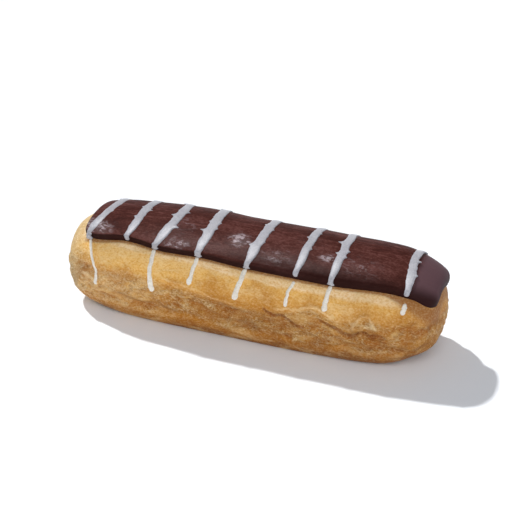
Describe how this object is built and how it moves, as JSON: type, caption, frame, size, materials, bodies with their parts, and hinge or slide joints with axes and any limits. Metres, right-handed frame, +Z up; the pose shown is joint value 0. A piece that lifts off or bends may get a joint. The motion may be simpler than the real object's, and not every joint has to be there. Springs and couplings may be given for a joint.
{
  "type": "chocolate eclair",
  "caption": "Long baked choux bun with a chocolate icing cap and white icing drizzled across it, some run down the sides.",
  "frame": {"origin": "middle of the flat underside, on the floor", "axes": "+X along the eclair's length, towards the end nearer the picture's right side, +Z up, -Y towards the viewer"},
  "size_m": [0.1309, 0.0403, 0.0352],
  "materials": {
    "baked_choux": "matt baked crust, golden brown, darker at the foot",
    "chocolate": "set chocolate icing with a dull sheen, crossed by pale grey-white drizzle"
  },
  "bodies": {
    "root": {"choux_bun": "baked_choux", "chocolate_icing": "chocolate"}
  },
  "joints": []
}
